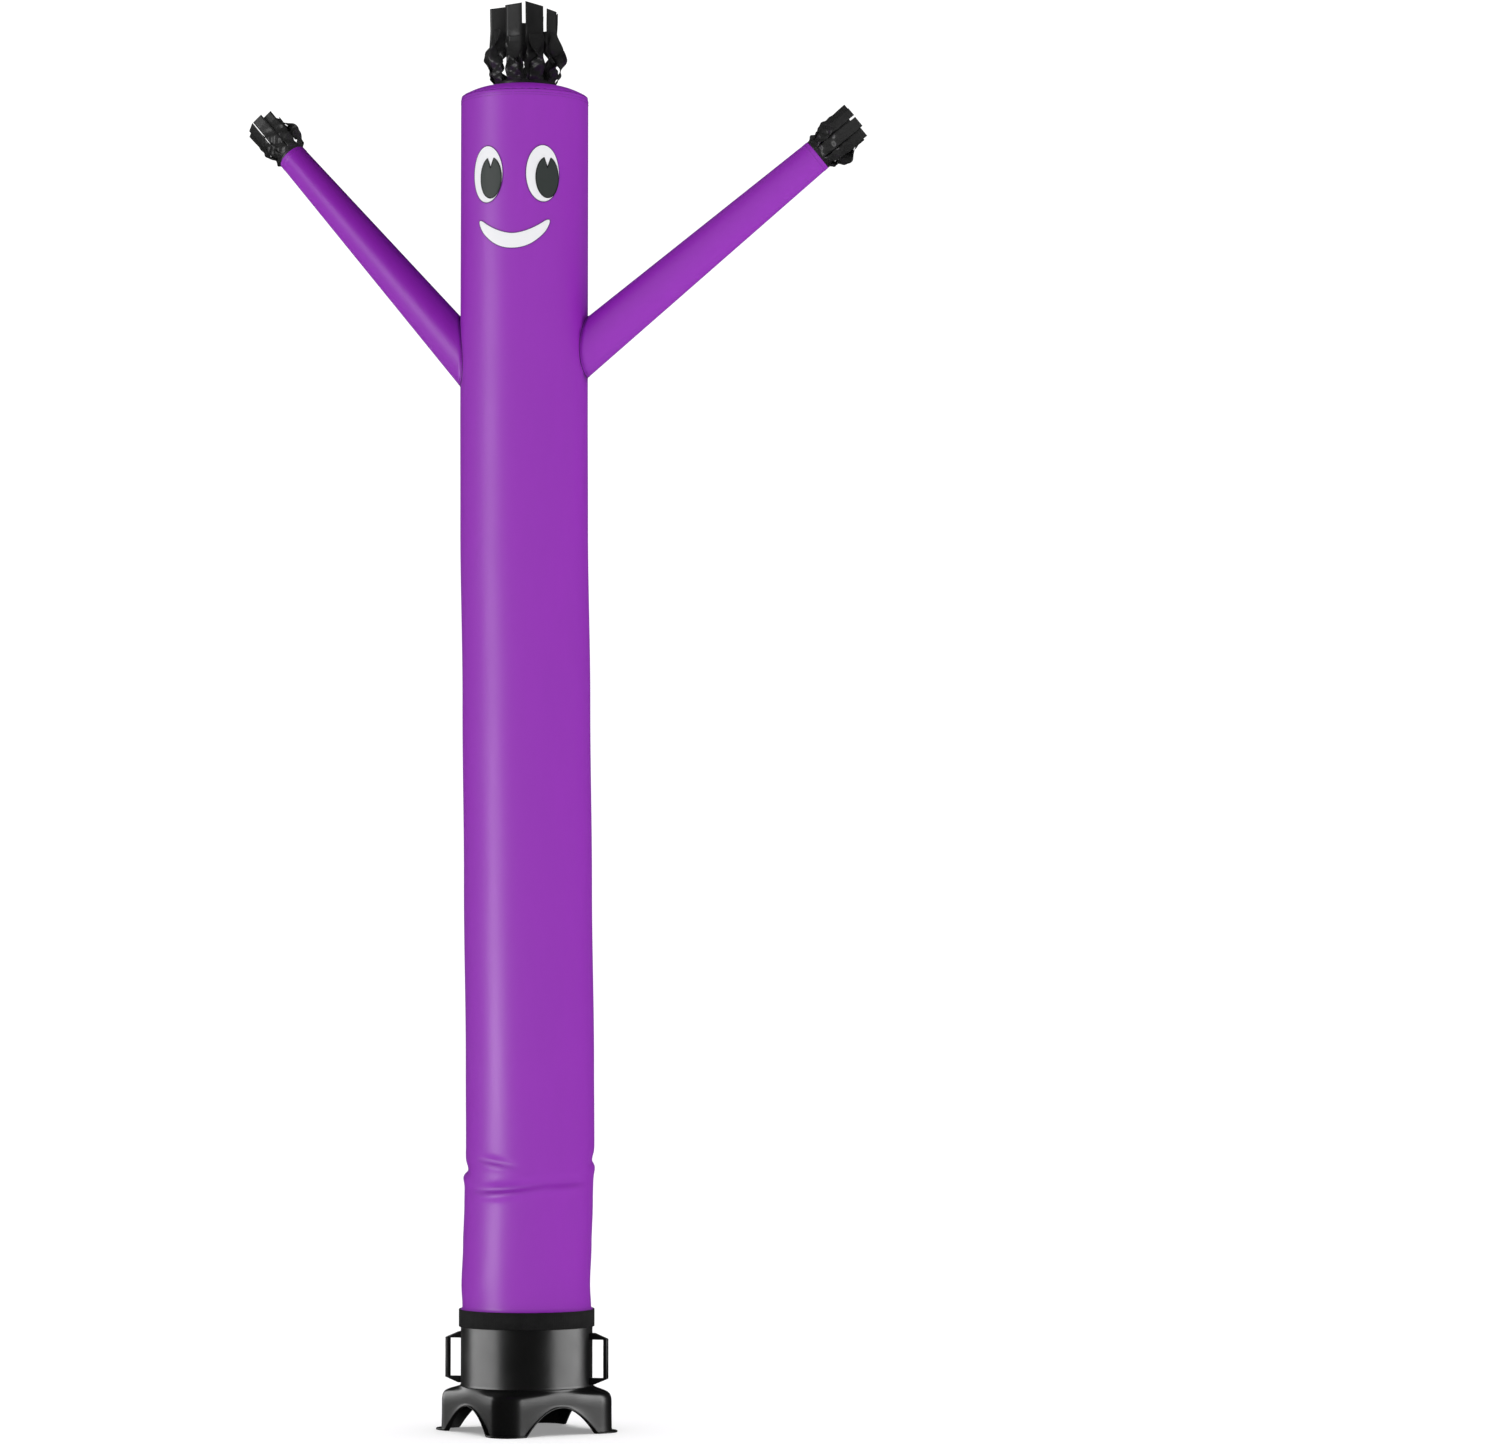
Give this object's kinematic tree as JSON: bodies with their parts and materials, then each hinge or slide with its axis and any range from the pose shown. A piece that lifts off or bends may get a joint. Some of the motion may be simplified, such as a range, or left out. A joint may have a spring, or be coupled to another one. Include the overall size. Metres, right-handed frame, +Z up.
{
  "type": "inflatable air dancer on a round blower stand",
  "caption": "Inflated cloth tube figure with a smiling face, raised arms and cloth strip hair, strapped to a round blower on a four-footed base.",
  "frame": {"origin": "on the floor, at the middle of the whole outline; the blower's axis stands at x = -0.0444 m, y = -0.0057 m", "axes": "+Z up along the tube, the face looks along -Y, the longer raised arm reaches along +X"},
  "size_m": [1.5549, 0.4528, 3.4223],
  "materials": {
    "purple_cloth": "smooth light nylon cloth, faint sheen",
    "black_cloth": "smooth black nylon strips",
    "white_cloth": "white sewn-on cloth",
    "grey_cloth": "dark grey sewn-on cloth",
    "black_plastic": "black moulded plastic, satin gloss",
    "black_tape": "woven hook-and-loop tape",
    "dark_wire": "dark plated steel wire and screw heads"
  },
  "bodies": {
    "root": {"body_tube": "purple_cloth", "head_cap": "purple_cloth", "arm_right": "purple_cloth", "arm_left": "purple_cloth", "hair_top": "black_cloth", "hair_right": "black_cloth", "hair_left": "black_cloth", "eye_white_left": "white_cloth", "eye_white_right": "white_cloth", "pupil_left": "grey_cloth", "pupil_right": "grey_cloth", "mouth": "white_cloth", "drum": "black_plastic", "hook_tape": "black_tape", "neck_strap": "black_tape", "rim_ring": "black_plastic", "grille": "dark_wire", "grille_hub": "black_plastic", "base_stand": "black_plastic", "handle_right": "black_plastic", "handle_left": "black_plastic", "rim_screw_1": "dark_wire", "rim_screw_2": "dark_wire", "rim_screw_3": "dark_wire", "rim_screw_4": "dark_wire", "rim_screw_5": "dark_wire", "rim_screw_6": "dark_wire", "rim_screw_7": "dark_wire", "rim_screw_8": "dark_wire", "hub_screw_1": "dark_wire", "hub_screw_2": "dark_wire", "hub_screw_3": "dark_wire", "hub_screw_4": "dark_wire"}
  },
  "joints": []
}
